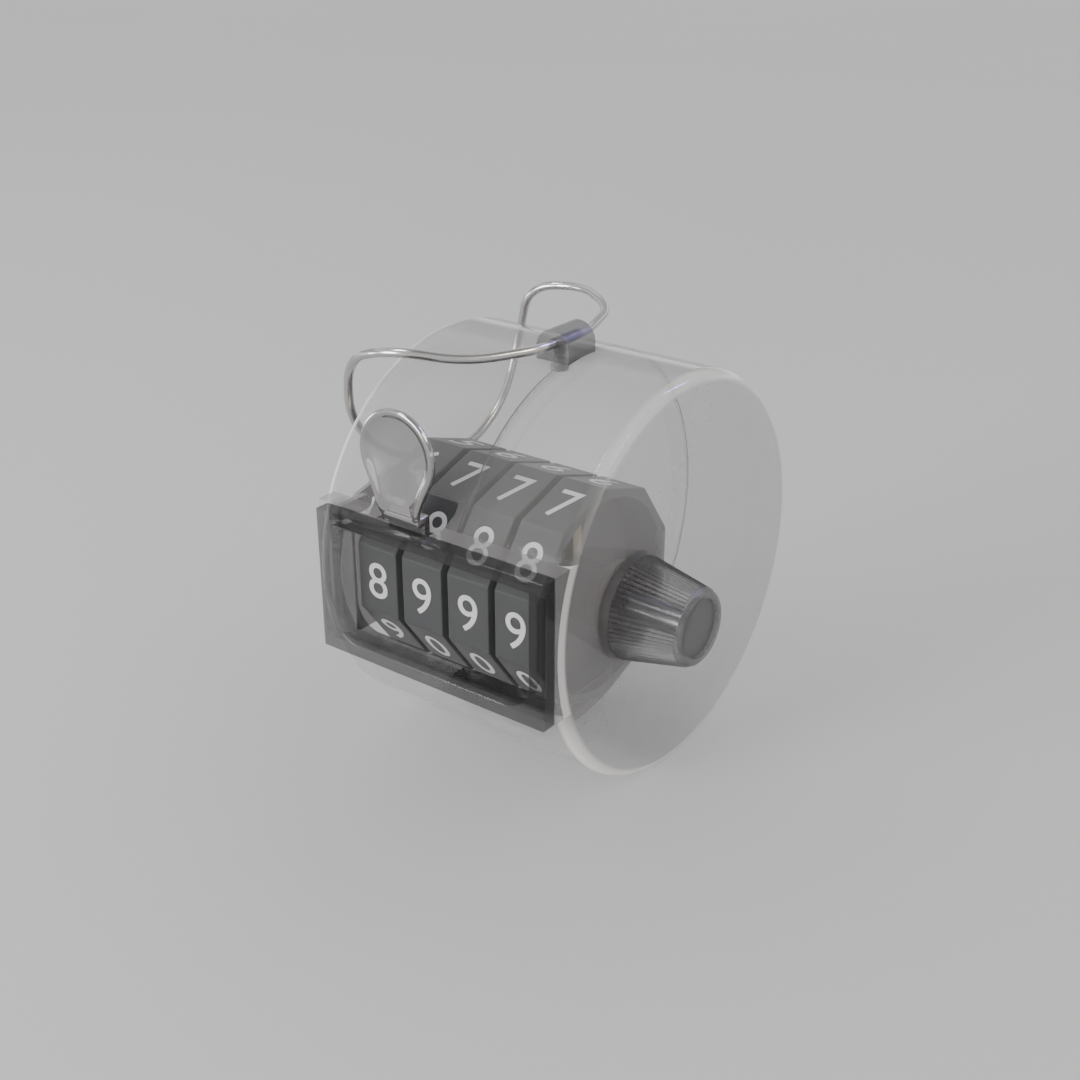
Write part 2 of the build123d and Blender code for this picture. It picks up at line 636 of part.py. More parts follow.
def bend_radii(points, end_reach):
    """Largest tangent arc at each inner point of an open chain."""
    radii = []
    last = len(points) - 2
    for i in range(1, len(points) - 1):
        before = Vector(*points[i]) - Vector(*points[i - 1])
        after = Vector(*points[i + 1]) - Vector(*points[i])
        reach = BEND_SHARE * min(before.length, after.length)
        if i in (1, last):
            reach = min(reach, end_reach)
        radii.append(reach / tan(radians(before.get_angle(after)) / 2))
    return radii


def finger_ring():
    """Closed wire loop; its two ends butt together inside the lug."""
    bends = [(x, y, RING_Z + rise) for x, y, rise in RING_BENDS]
    start = (LUG_X, LUG_Y + RING_BUTT, RING_Z)
    end = (LUG_X, LUG_Y - RING_BUTT, RING_Z)
    points = [start, *bends, end]
    radii = bend_radii(points, bends[0][1] - (LUG_Y + LUG_DEPTH / 2))
    path = FilletPolyline(*points, radius=radii)
    wire = sweep(Plane(origin=start, z_dir=(0, 1, 0)) * Circle(RING_WIRE_R), path=path)
    expected = pi * RING_WIRE_R**2 * path.length
    print("ring bend radii", [round(r, 1) for r in radii])
    print("ring volume", round(wire.volume, 1), "section times length", round(expected, 1))
    return wire


# ---------------------------------------------------------------- build
left_shell, right_shell = shells()
save(left_shell, "left_shell")
save(right_shell, "right_shell")
save(window_bezel(), "window_bezel")
save(window_pane(), "window_pane")
save(side_plate(), "side_plate")
save(ring_lug(), "ring_lug")
save(lug_rivet(), "lug_rivet")
left_bush, right_bush = bushes()
save(left_bush, "shaft_bush_left")
save(right_bush, "shaft_bush_right")
save(round_bar(PIN_R, PIN_LEFT, PIN_RIGHT, (PIVOT_Y, PIVOT_Z)), "lever_pin")
save(comb_rod(SHAFT_INSET, DETENT_DEG), "detent_rod")
save(comb(DETENT_DEG, DETENT_TIP_SWEEP, ROD_R), "detent_comb")
save(return_spring(), "return_spring")

for k in range(WHEEL_COUNT):
    save(number_wheel(k), f"number_wheel_{k + 1}")
    save(ratchet(k), f"ratchet_{k + 1}")
    save(reset_dog(k), f"reset_dog_{k + 1}")

save(main_shaft(), "main_shaft")
save(shaft_spacer(), "shaft_spacer")
save(reset_knob(), "reset_knob")
save(wheel_bar(CAP_R, CAP_X, CAP_X + CAP_T), "knob_cap")

save(thumb_lever(), "thumb_lever")
save(lever_crank(), "lever_crank")
save(crank_pin(LEVER_CRANK), "lever_crank_pin")
save(drive_link(), "drive_link")
save(driver_arm(), "driver_arm")
save(crank_pin(DRIVER_CRANK), "driver_crank_pin")
save(comb_rod(CRANK_LEFT, PAWL_DEG), "pawl_rod")
save(comb(PAWL_DEG, PAWL_TIP_SWEEP, ROD_R + RUN_FIT), "pawl_comb")
save(finger_ring(), "finger_ring")
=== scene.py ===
# %% [markdown]
# # Hand tally counter
# A clear drum holds four dark number wheels behind a smoky window bezel. A chrome
# thumb lever counts up, a ribbed knob resets to zero and a bent wire ring goes round
# a finger. The measured model comes in as a frame; this script gives every piece its
# shape in detail, its finish and its light.

# %% Load the measured frame
import json
from math import atan2, cos, degrees, pi, radians, sin

import bmesh
import bpy
from mathutils import Matrix, Vector


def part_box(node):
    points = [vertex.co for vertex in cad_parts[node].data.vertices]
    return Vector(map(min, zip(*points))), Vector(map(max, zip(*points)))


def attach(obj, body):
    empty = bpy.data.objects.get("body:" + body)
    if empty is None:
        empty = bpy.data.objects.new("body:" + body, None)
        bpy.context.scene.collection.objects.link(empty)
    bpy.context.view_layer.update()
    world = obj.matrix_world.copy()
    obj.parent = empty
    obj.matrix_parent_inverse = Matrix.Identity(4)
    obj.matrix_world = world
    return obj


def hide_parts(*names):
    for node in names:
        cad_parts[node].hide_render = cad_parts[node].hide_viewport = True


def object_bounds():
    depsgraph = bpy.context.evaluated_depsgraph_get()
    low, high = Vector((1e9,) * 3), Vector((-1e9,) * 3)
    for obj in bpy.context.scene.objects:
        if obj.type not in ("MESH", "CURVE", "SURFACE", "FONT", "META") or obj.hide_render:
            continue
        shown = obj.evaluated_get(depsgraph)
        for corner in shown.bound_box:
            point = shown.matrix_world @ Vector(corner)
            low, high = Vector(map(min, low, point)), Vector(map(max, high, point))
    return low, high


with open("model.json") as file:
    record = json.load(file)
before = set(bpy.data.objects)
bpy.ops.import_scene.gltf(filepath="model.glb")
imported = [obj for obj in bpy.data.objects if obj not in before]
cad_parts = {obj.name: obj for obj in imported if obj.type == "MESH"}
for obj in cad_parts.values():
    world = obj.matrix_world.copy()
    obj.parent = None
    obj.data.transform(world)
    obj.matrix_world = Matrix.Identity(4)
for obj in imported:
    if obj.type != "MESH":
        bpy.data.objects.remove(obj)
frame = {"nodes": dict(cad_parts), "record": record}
nodes = frame["nodes"]
MM = 0.001
cad_box = [list(corner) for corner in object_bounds()]
print("frame box in mm:", [[round(v / MM, 1) for v in corner] for corner in cad_box])

# %% [markdown]
# ## Shader nodes in short
# A material is a small network of nodes. Adding and wiring them takes several lines each
# by hand, so a few helpers do it: one feeds a socket, one adds a node, one stretches a
# value to a new range and one mixes two colours.


# %% Helpers for shader nodes
def plug(owner, socket, value):
    """Link a socket to another one, or type a plain value into it."""
    if isinstance(value, bpy.types.NodeSocket):
        owner.node_tree.links.new(value, socket)
    else:
        socket.default_value = value


def node(owner, kind, operation=None, *values):
    """Add one node to a material or world and fill its first inputs."""
    made = owner.node_tree.nodes.new(kind)
    if operation:
        made.operation = operation
    for slot, value in enumerate(values):
        plug(owner, made.inputs[slot], value)
    return made


def stretched(mat, value, low, high):
    """Socket that goes from low to high while value goes from 0 to 1."""
    made = node(mat, "ShaderNodeMapRange", None, value)
    made.inputs["To Min"].default_value = low
    made.inputs["To Max"].default_value = high
    return made.outputs["Result"]


# The Mix node keeps sockets for every kind of value; these are its colour ones.
MIX_SHARE, MIX_FIRST, MIX_SECOND, MIX_OUT = 0, 6, 7, 2


def mixed(mat, share, first, second):
    """Socket with a mix of two colours."""
    made = node(mat, "ShaderNodeMix")
    made.data_type = "RGBA"
    for slot, value in ((MIX_SHARE, share), (MIX_FIRST, first), (MIX_SECOND, second)):
        plug(mat, made.inputs[slot], value)
    return made.outputs[MIX_OUT]


print("node helpers ready")

# %% [markdown]
# ## Finishes
# Moulded plastic and drawn metal are never quite even. Each finish is one Principled
# shader: what is the same all over is typed into its sockets, and a noise texture on
# Object coordinates drives only what varies, which is roughness, a faint bump and a
# small shift of colour.

# %% A finish with fine variation
NOISE_DETAIL = 4.0
COLOR_SHIFT = 0.06
BUMP_DEPTH = 0.05 * MM


def finish(name, color, roughness, grain=400.0, uneven=0.25, bump=0.02, **sockets):
    """Principled material; keyword sockets are set straight on the shader."""
    mat = bpy.data.materials.new(name)
    mat.use_nodes = True
    shader = mat.node_tree.nodes["Principled BSDF"]
    for socket, value in sockets.items():
        shader.inputs[socket.replace("_", " ")].default_value = value
    place = node(mat, "ShaderNodeTexCoord").outputs["Object"]
    noise = node(mat, "ShaderNodeTexNoise", None, place)
    noise.inputs["Scale"].default_value = grain
    noise.inputs["Detail"].default_value = NOISE_DETAIL
    grey = noise.outputs["Fac"]
    rough = stretched(mat, grey, roughness * (1 - uneven), roughness * (1 + uneven))
    plug(mat, shader.inputs["Roughness"], rough)
    darker = (*[c * (1 - COLOR_SHIFT) for c in color], 1)
    lighter = (*[min(1, c * (1 + COLOR_SHIFT)) for c in color], 1)
    plug(mat, shader.inputs["Base Color"], mixed(mat, grey, darker, lighter))
    relief = node(mat, "ShaderNodeBump")
    relief.inputs["Strength"].default_value = bump
    relief.inputs["Distance"].default_value = BUMP_DEPTH
    plug(mat, relief.inputs["Height"], grey)
    plug(mat, shader.inputs["Normal"], relief.outputs["Normal"])
    return mat


print("finish helper ready")

# %% [markdown]
# ## Clear plastic
# A thin clear wall is nearly invisible face on and denser where it is seen edge on. Glass
# that bends light would show that too, but it takes many bounces of light and leaves grain
# in the picture. Alpha that follows the Facing output is simpler and stays clean.
#
# The drum is hollow, so its wall has an outer and an inner skin. On the real case the
# outer skin carries the gloss and the inner one is lost in the glare. Distance from the
# drum's axis tells the two apart, so the inner skin can be drawn much fainter.


# %% See-through skins
def see_through(mat, facing_alpha, edge_alpha, skin=None):
    """Clear plastic skin: thin face on, denser at grazing edges, drawn from outside only."""
    facing = node(mat, "ShaderNodeLayerWeight", None, 0.5).outputs["Facing"]
    density = stretched(mat, facing, facing_alpha, edge_alpha)
    inside = node(mat, "ShaderNodeNewGeometry").outputs["Backfacing"]
    outside = node(mat, "ShaderNodeMath", "SUBTRACT", 1.0, inside)
    alpha = node(mat, "ShaderNodeMath", "MULTIPLY", density, outside.outputs[0])
    if skin:
        alpha = node(mat, "ShaderNodeMath", "MULTIPLY", alpha.outputs[0], skin(mat))
    plug(mat, mat.node_tree.nodes["Principled BSDF"].inputs["Alpha"], alpha.outputs[0])
    mat.use_backface_culling = True
    return mat


right_low, right_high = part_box("right_shell")
DRUM_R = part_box("left_shell")[1].z
DRUM_END = right_high.x
SKIN = 0.6 * MM
END_SKIN = 1.3 * MM
INNER_SHARE = 0.12


def place_on_drum(mat):
    """Two sockets: distance from the drum's axis, and place along it."""
    place = node(mat, "ShaderNodeTexCoord").outputs["Object"]
    across = node(mat, "ShaderNodeVectorMath", "MULTIPLY", place, (0, 1, 1))
    radius = node(mat, "ShaderNodeVectorMath", "LENGTH", across.outputs[0])
    along = node(mat, "ShaderNodeSeparateXYZ", None, place)
    return radius.outputs["Value"], along.outputs["X"]


def outer_skin(mat):
    """1 on the drum's outer skin and a small share on the inner one."""
    radius, along = place_on_drum(mat)
    far_out = node(mat, "ShaderNodeMath", "GREATER_THAN", radius, DRUM_R - SKIN)
    left_end = node(mat, "ShaderNodeMath", "LESS_THAN", along, END_SKIN)
    right_end = node(mat, "ShaderNodeMath", "GREATER_THAN", along, DRUM_END - END_SKIN)
    ends = node(mat, "ShaderNodeMath", "ADD", left_end.outputs[0], right_end.outputs[0])
    either = node(mat, "ShaderNodeMath", "ADD", ends.outputs[0], far_out.outputs[0])
    return stretched(mat, either.outputs[0], INNER_SHARE, 1.0)


print("drum radius", round(DRUM_R / MM, 2), "mm, length", round(DRUM_END / MM, 2), "mm")

# %% [markdown]
# ## Painted rim highlight
# The rounded rims of the drum get a painted highlight: there the plastic is made whiter and
# denser, standing in for the reflections of light on the rims. A light-emitting strip would
# shine in the dark as well, so the highlight is painted in instead. Distance from the axis plus
# distance from the middle of the drum is largest on the crest of that rounding, so this sum
# marks the rim without any texture.

# %% Painted highlight on the rounded rims
EDGE_R = 1.4 * MM
EDGE_FOOT = DRUM_R + DRUM_END / 2 - EDGE_R
EDGE_CREST = EDGE_FOOT + (2 ** 0.5 - 1) * EDGE_R
ABOVE_DRUM = 0.03 * MM


def light_rims(mat, color, strength):
    """Painted highlight: whiter and denser plastic on the rounded rims of the drum."""
    radius, along = place_on_drum(mat)
    middle = node(mat, "ShaderNodeMath", "SUBTRACT", along, DRUM_END / 2)
    from_middle = node(mat, "ShaderNodeMath", "ABSOLUTE", middle.outputs[0])
    corner = node(mat, "ShaderNodeMath", "ADD", radius, from_middle.outputs[0])
    rounding = (corner.outputs[0], EDGE_FOOT, EDGE_CREST)
    crest = node(mat, "ShaderNodeMapRange", None, *rounding)
    crest.interpolation_type = "SMOOTHSTEP"
    on_rim = node(mat, "ShaderNodeMath", "LESS_THAN", radius, DRUM_R + ABOVE_DRUM)
    painted_highlight = node(mat, "ShaderNodeMath", "MULTIPLY", crest.outputs["Result"], on_rim.outputs[0])
    painted_highlight = painted_highlight.outputs[0]
    shader = mat.node_tree.nodes["Principled BSDF"]
    plain = shader.inputs["Base Color"].links[0].from_socket
    # Painted highlight: the rim colour is mixed in where the rim mask is high.
    plug(mat, shader.inputs["Base Color"], mixed(mat, painted_highlight, plain, (*color, 1)))
    alpha = shader.inputs["Alpha"].links[0].from_socket
    share = node(mat, "ShaderNodeMath", "MULTIPLY_ADD", painted_highlight, strength, 1.0)
    denser = node(mat, "ShaderNodeMath", "MULTIPLY", alpha, share.outputs[0])
    plug(mat, shader.inputs["Alpha"], denser.outputs[0])


print("rims glow beyond", round(EDGE_FOOT / MM, 2), "mm")

# %% [markdown]
# ## The counter's materials
# Clear drum, smoky window frame and knob, dark wheels with dark ratchets, brown bearings,
# bright metal outside and plain metal inside. The wheels could be see-through as well, but
# stacks of see-through skins turn speckled in the picture, so they are dark and solid.

# %% Plastics and metals
clear = see_through(
    finish("clear_case", (0.4, 0.387, 0.378), 0.1, bump=0.01, IOR=1.5), 0.07, 0.92, outer_skin
)
# The near-white colour is the painted highlight on the drum's rims.
light_rims(clear, (0.9, 0.88, 0.84), 0.55)
pane_clear = see_through(
    finish("clear_pane", (0.08, 0.08, 0.08), 0.06, bump=0.01, IOR=1.25), 0.06, 0.3
)
smoked = see_through(finish("smoky_plastic", (0.016, 0.016, 0.016), 0.12, IOR=1.25), 0.62, 0.9)
knob_smoke = see_through(finish("knob_plastic", (0.09, 0.086, 0.086), 0.38), 0.64, 0.88)
wheel_smoke = finish("smoky_wheel", (0.078, 0.079, 0.08), 0.4, IOR=1.25)
ratchet_dark = finish("dark_ratchet", (0.13, 0.125, 0.125), 0.5)
bush_brown = see_through(finish("brown_bearing", (0.15, 0.11, 0.1), 0.4), 0.7, 0.85)
chrome = see_through(
    finish("chrome", (0.4, 0.39, 0.385), 0.12, uneven=0.3, Metallic=1.0), 0.86, 1.0
)
wire_chrome = finish("wire_chrome", (0.5, 0.49, 0.48), 0.22, uneven=0.3, Metallic=1.0)
steel = finish("plain_steel", (0.32, 0.32, 0.33), 0.3, Metallic=1.0)
spring_steel = finish("spring_steel", (0.3, 0.3, 0.31), 0.34, Metallic=1.0)
brass = finish("dull_brass", (0.3, 0.24, 0.17), 0.35, Metallic=1.0)
print(len(bpy.data.materials), "finishes")

# %% [markdown]
# ## Frame pieces that stay
# Pins, rods, combs and wire have their true shape already, so they only need their
# finish. A table from the record's slot to a finish keeps that in one place.

# %% Give every frame piece its finish
FINISH_OF_SLOT = {
    "clear": clear,
    "pane": pane_clear,
    "smoked": smoked,
    "wheel": wheel_smoke,
    "ratchet": ratchet_dark,
    "dark_bush": bush_brown,
    "chrome": chrome,
    "steel": steel,
    "spring_steel": spring_steel,
    "brass": brass,
}
for part in frame["record"]["subparts"]:
    mesh = nodes[part["node"]].data
    mesh.materials.clear()
    mesh.materials.append(FINISH_OF_SLOT[part["material_slot"]])
nodes["knob_cap"].data.materials[0] = knob_smoke
nodes["finger_ring"].data.materials[0] = wire_chrome
print(len(nodes), "frame pieces finished")

# %% [markdown]
# ## Softened mouldings
# A moulded edge is never sharp: the fine radius along it is what catches the light.
# The window frame, the lug and the number wheels are copied from the measured model,
# their loose triangles are merged into whole faces and every sharp edge is bevelled.
# Modelling them again from boxes would risk losing the fit, and a bevel keeps it.

# %% Soften the moulded edges
WHEELS = range(1, 5)
SHARP = radians(30)
FLAT = radians(1.0)
WELD = 1e-6
FRAME_EDGE = 0.16 * MM
LUG_EDGE = 0.3 * MM
WHEEL_EDGE = 0.14 * MM


def make_object(name, bm, mat):
    """Turn a bmesh into an object with one material."""
    mesh = bpy.data.meshes.new(name)
    bm.to_mesh(mesh)
    bm.free()
    mesh.materials.append(mat)
    made = bpy.data.objects.new(name, mesh)
    bpy.context.collection.objects.link(made)
    return made


def add_piece(name, bm, body, mat):
    """Turn a bmesh into a finished piece riding on a body."""
    piece = make_object(name, bm, mat)
    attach(piece, body)
    return piece


def softened(node_name, name, width, body, mat):
    """Copy of a frame piece with its sharp edges bevelled."""
    bm = bmesh.new()
    bm.from_mesh(nodes[node_name].data)
    bmesh.ops.remove_doubles(bm, verts=bm.verts, dist=WELD)
    bmesh.ops.dissolve_limit(bm, angle_limit=FLAT, verts=bm.verts, edges=bm.edges)
    sharp = [e for e in bm.edges if len(e.link_faces) == 2 and e.calc_face_angle() > SHARP]
    bmesh.ops.bevel(
        bm,
        geom=sharp,
        offset=width,
        segments=2,
        profile=0.5,
        affect="EDGES",
        material=-1,
        clamp_overlap=True,
    )
    for face in bm.faces:
        face.smooth = False
    piece = add_piece(name, bm, body, mat)
    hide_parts(node_name)
    print(name, len(piece.data.polygons), "faces")


softened("window_bezel", "window_frame", FRAME_EDGE, "case", smoked)
softened("ring_lug", "lug", LUG_EDGE, "case", knob_smoke)
for k in WHEELS:
    node_name, body = f"number_wheel_{k}", f"wheel_{k}"
    softened(node_name, f"wheel_body_{k}", WHEEL_EDGE, body, wheel_smoke)

# %% [markdown]
# ## Thumb lever
# The lever is pressed from sheet: a teardrop with a rolled rim round a shallow dish.
# It starts as one flat disc, which is easier to shape than a drawn curve. The upper part
# stays round, the lower points slide in along the sides, and the lowest of them form the
# straight narrow foot.

# %% Thumb plate outline
lever_low, lever_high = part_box("thumb_lever")
bezel_low, bezel_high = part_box("window_bezel")
PLATE_R = 4.85 * MM
PLATE_T = 1.2 * MM
FOOT_HALF = 2.4 * MM
FOOT_SHIFT = 0.25 * MM
FOOT_GAP = 0.2 * MM
LEVER_X = 13.1 * MM
LEAN = radians(27)
OUTLINE_POINTS = 56
SIDE_SHARE = 0.75
SIDE_CURVE = 1.35
plate_back = lever_low.y + PLATE_T
plate_z = lever_high.z - PLATE_R
shoulder_z = plate_z - PLATE_R * sin(LEAN)
shoulder_half = PLATE_R * cos(LEAN)
foot_z = bezel_high.z + FOOT_GAP

lever = bmesh.new()
bmesh.ops.create_circle(lever, cap_ends=True, radius=PLATE_R, segments=OUTLINE_POINTS)
bmesh.ops.rotate(lever, verts=lever.verts, matrix=Matrix.Rotation(pi / 2, 3, "X"))
for v in lever.verts:
    from_foot = atan2(v.co.x, -v.co.z)
    past = 1 - abs(from_foot) / (pi / 2 - LEAN)
    v.co += Vector((LEVER_X, plate_back, plate_z))
    if past <= 0:
        continue
    side = 1 if from_foot > 0 else -1
    if past < SIDE_SHARE:
        t = past / SIDE_SHARE
        half = FOOT_HALF + (shoulder_half - FOOT_HALF) * (1 - t) ** SIDE_CURVE
        v.co.x = LEVER_X + side * half - FOOT_SHIFT * t
        v.co.z = shoulder_z + t * (foot_z - shoulder_z)
    else:
        t = (past - SIDE_SHARE) / (1 - SIDE_SHARE)
        v.co.x = LEVER_X + side * FOOT_HALF * (1 - t) - FOOT_SHIFT
        v.co.z = foot_z
print("outline points", len(lever.verts))

# %% [markdown]
# ## Rim and dish
# In the press the sheet gets its thickness, its rolled rim and its bowl in one stroke.
# Here the face is drawn out once and then inset step by step: the first insets climb over
# the rim and drop behind it, and the later ones shrink towards the bowl's centre while
# they sink. Sculpting would do it too, but steps can be read and changed.

# %% Roll the rim and sink the dish
SHEET_SHARE = 0.85
RIM_STEPS = ((0.16, 0.18), (0.42, 0.0), (0.22, -0.2), (0.3, -0.22))
BOWL_STEPS = ((0.86, 0.2), (0.68, 0.14), (0.48, 0.09), (0.28, 0.05), (0.12, 0.01))
BOWL_DROP = 0.4 * MM
RING_INSET = 0.01 * MM
FADE = 1.6 * MM
FOOT_SINK = 0.8
SUNK_SHARE = 0.25

bmesh.ops.recalc_face_normals(lever, faces=lever.faces)
base = lever.faces[:][0]
if base.normal.y > 0:
    base.normal_flip()
grown = bmesh.ops.extrude_face_region(lever, geom=[base])["geom"]
front = next(g for g in grown if isinstance(g, bmesh.types.BMFace))
bmesh.ops.translate(lever, verts=front.verts, vec=(0, -SHEET_SHARE * PLATE_T, 0))
bmesh.ops.recalc_face_normals(lever, faces=lever.faces)
for inward, outward in RIM_STEPS:
    bmesh.ops.inset_region(
        lever,
        faces=[front],
        thickness=inward * MM,
        depth=outward * MM,
        use_even_offset=True,
    )
bowl = Vector((LEVER_X, 0, plate_z - BOWL_DROP))
reached = 1.0
for share, sink in BOWL_STEPS:
    bmesh.ops.inset_region(lever, faces=[front], thickness=RING_INSET, depth=0)
    for v in front.verts:
        v.co.x = bowl.x + (v.co.x - bowl.x) * share / reached
        v.co.z = bowl.z + (v.co.z - bowl.z) * share / reached
        v.co.y += sink * MM
    reached = share
sunk = plate_back - SUNK_SHARE * PLATE_T
for v in lever.verts:
    near_foot = max(0.0, 1 - (v.co.z - foot_z) / FADE)
    if v.co.y < sunk:
        v.co.y += FOOT_SINK * near_foot * (sunk - v.co.y)
front_y = round(min(v.co.y for v in lever.verts) / MM, 2)
print("thumb plate", len(lever.faces), "faces, front at y", front_y)

# %% [markdown]
# ## Stem and barrel
# Behind the window frame the sheet turns inwards and down and curls round the hinge pin.
# Two rounded blocks and a cylinder, joined to the plate's mesh, are enough for what shows
# through the smoky plastic. A subdivision surface then rounds the roll of the rim.

# %% Stem and hinge barrel behind the frame
PIVOT_Y, PIVOT_Z, BARREL_R = -21.85 * MM, 7.7 * MM, 0.85 * MM
BARREL_SIDES = 32
BLOCK_EDGE = 0.15 * MM
STEM_T = 1.0 * MM
BRIDGE_SHARE = 0.7
barrel_left, barrel_right = lever_low.x, LEVER_X + FOOT_HALF


def add_block(bm, low, high, radius):
    """Box between two corners with rounded edges."""
    made = bmesh.ops.create_cube(bm, size=1.0)["verts"]
    size = Vector(high) - Vector(low)
    bmesh.ops.scale(bm, verts=made, vec=size)
    bmesh.ops.translate(bm, verts=made, vec=Vector(low) + size / 2)
    edges = list(dict.fromkeys(e for v in made for e in v.link_edges))
    bmesh.ops.bevel(
        bm, geom=edges, offset=radius, segments=2, profile=0.5, affect="EDGES", material=-1
    )


stem_back = PIVOT_Y + BARREL_R / 2
stem_top = (LEVER_X + FOOT_HALF, stem_back, foot_z + PLATE_T)
bridge_front = plate_back - BRIDGE_SHARE * PLATE_T
bridge_low = (LEVER_X - FOOT_HALF, bridge_front, foot_z + BLOCK_EDGE)
stem_low = (LEVER_X - FOOT_HALF, stem_back - STEM_T, PIVOT_Z)
for low in (bridge_low, stem_low):
    add_block(lever, low, stem_top, BLOCK_EDGE)
barrel = bmesh.ops.create_cone(
    lever,
    cap_ends=True,
    segments=BARREL_SIDES,
    radius1=BARREL_R,
    radius2=BARREL_R,
    depth=barrel_right - barrel_left,
)["verts"]
bmesh.ops.rotate(lever, verts=barrel, matrix=Matrix.Rotation(pi / 2, 3, "Y"))
barrel_middle = ((barrel_left + barrel_right) / 2, PIVOT_Y, PIVOT_Z)
bmesh.ops.translate(lever, verts=barrel, vec=barrel_middle)
for face in lever.faces:
    face.smooth = True
thumb = add_piece("thumb_plate", lever, "lever", chrome)
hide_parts("thumb_lever")
rounding = thumb.modifiers.new("roll", "SUBSURF")
rounding.levels = rounding.render_levels = 2
print("thumb lever", len(thumb.data.polygons), "faces before rounding")

# %% [markdown]
# ## Reset knob
# The knob is moulded with fine straight ribs between two plain bands. A cone with twice
# as many sides as ribs gives the body, and pulling every second corner in cuts the ribs.
# An array of small wedges would need joining afterwards; this stays one clean mesh.

# %% Ribbed body
knob_low, knob_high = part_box("reset_knob")
wheel_low, wheel_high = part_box("number_wheel_1")
AXIS = Vector((0, (wheel_low.y + wheel_high.y) / 2, (wheel_low.z + wheel_high.z) / 2))
RIBS = 60
RIB_DEPTH = 0.24 * MM
BAND = 0.8 * MM
KNOB_END_R = 4.0 * MM
KNOB_BASE_R = 5.7 * MM
knob_length = knob_high.x - knob_low.x
slope = (KNOB_BASE_R - KNOB_END_R) / knob_length
ribs_base_r = KNOB_BASE_R - slope * BAND
ribs_end_r = KNOB_END_R + slope * BAND

knob = bmesh.new()
bmesh.ops.create_cone(
    knob,
    cap_ends=True,
    segments=2 * RIBS,
    radius1=ribs_base_r,
    radius2=ribs_end_r,
    depth=knob_length - 2 * BAND,
)
caps = [f for f in knob.faces if len(f.verts) > 4]
base, tip = sorted(caps, key=lambda f: f.calc_center_median().z)
for face in (base, tip):
    for i, corner in enumerate(sorted(face.verts, key=lambda v: atan2(v.co.y, v.co.x))):
        if i % 2:
            corner.co.xy *= 1 - RIB_DEPTH / corner.co.xy.length
print("knob ribs", RIBS)

# %% [markdown]
# ## Bands, rim and recess
# Each end of the knob is turned round: a plain band, and at the outer end a soft rim and
# a recess for the cap. Both end faces are drawn out step by step, and each step says how
# far along and to what radius, like a turner's drawing. The knob stays solid, so nothing
# but its ribs shows in the plastic.

# %% Plain bands, round rim and recess
CAP_R = 3.1 * MM
CAP_SINK = 0.45 * MM
CAP_EDGE = 0.06 * MM
BASE_STEPS = ((0.0, ribs_base_r), (-BAND, KNOB_BASE_R))
TIP_STEPS = (
    (0.0, ribs_end_r),
    (0.25 * MM, KNOB_END_R + 0.02 * MM),
    (0.3 * MM, KNOB_END_R - 0.12 * MM),
    (0.18 * MM, KNOB_END_R - 0.34 * MM),
    (0.07 * MM, KNOB_END_R - 0.62 * MM),
    (0.0, CAP_R + CAP_EDGE),
    (-CAP_EDGE, CAP_R),
    (CAP_EDGE - CAP_SINK, CAP_R),
)


def draw_out(bm, face, steps):
    """Draw a face out along the axis, bringing its corners to one radius at each step."""
    for along, radius in steps:
        made = bmesh.ops.extrude_face_region(bm, geom=[face])["geom"]
        grown = next(g for g in made if isinstance(g, bmesh.types.BMFace))
        if face.is_valid:
            bm.faces.remove(face)
        for v in grown.verts:
            v.co.z += along
            v.co.xy *= radius / v.co.xy.length
        face = grown


draw_out(knob, base, BASE_STEPS)
draw_out(knob, tip, TIP_STEPS)
bmesh.ops.recalc_face_normals(knob, faces=knob.faces)
bmesh.ops.rotate(knob, verts=knob.verts, matrix=Matrix.Rotation(pi / 2, 3, "Y"))
knob_middle = AXIS + Vector(((knob_low.x + knob_high.x) / 2, 0, 0))
bmesh.ops.translate(knob, verts=knob.verts, vec=knob_middle)
knob_piece = add_piece("ribbed_knob", knob, "reset", knob_smoke)
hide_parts("reset_knob")
print("knob", len(knob_piece.data.polygons), "faces")

# %% [markdown]
# ## Seam
# The two halves of the drum meet in a fine line that always collects a little dust.
# A tiny round profile spun about the drum's axis lays that line in the joint; it
# stops above and below the window's flat seat. A painted line would need a texture.

# %% Spin the seam line
SEAM_WIRE = 0.055 * MM
SEAM_SIDES = 8
SEAM_STEPS = 160
SEAM_LAP = 1.3 * MM
SEAM_FROM, SEAM_TO = radians(-64), radians(249)
seam = bmesh.new()
ring = bmesh.ops.create_circle(
    seam, cap_ends=False, radius=SEAM_WIRE, segments=SEAM_SIDES
)["verts"]
bmesh.ops.rotate(seam, verts=ring, matrix=Matrix.Rotation(pi / 2, 3, "X"))
bmesh.ops.translate(seam, verts=ring, vec=(right_low.x + SEAM_LAP, 0, DRUM_R - SEAM_WIRE))
bmesh.ops.rotate(seam, verts=ring, cent=(0, 0, 0), matrix=Matrix.Rotation(-SEAM_FROM, 3, "X"))
bmesh.ops.spin(
    seam,
    geom=seam.verts[:] + seam.edges[:],
    cent=(0, 0, 0),
    axis=(1, 0, 0),
    dvec=(0, 0, 0),
    angle=-(SEAM_TO - SEAM_FROM),
    steps=SEAM_STEPS,
    use_merge=False,
    use_duplicate=False,
)
bmesh.ops.holes_fill(seam, edges=[e for e in seam.edges if e.is_boundary], sides=SEAM_SIDES)
bmesh.ops.recalc_face_normals(seam, faces=seam.faces)
seam_grey = see_through(finish("seam_dust", (0.06, 0.06, 0.065), 0.4), 0.8, 0.9)
add_piece("seam_line", seam, "case", seam_grey)
print("seam line spun over", round(degrees(SEAM_TO - SEAM_FROM)), "degrees")

# %% [markdown]
# ## Digit shapes
# The digits are printed in white on the wheels' flat facets. A text object gives the
# outline, so no digit has to be drawn by hand. It becomes a mesh that is only as thick
# as a layer of ink, scaled to its real height and centred on its own origin.

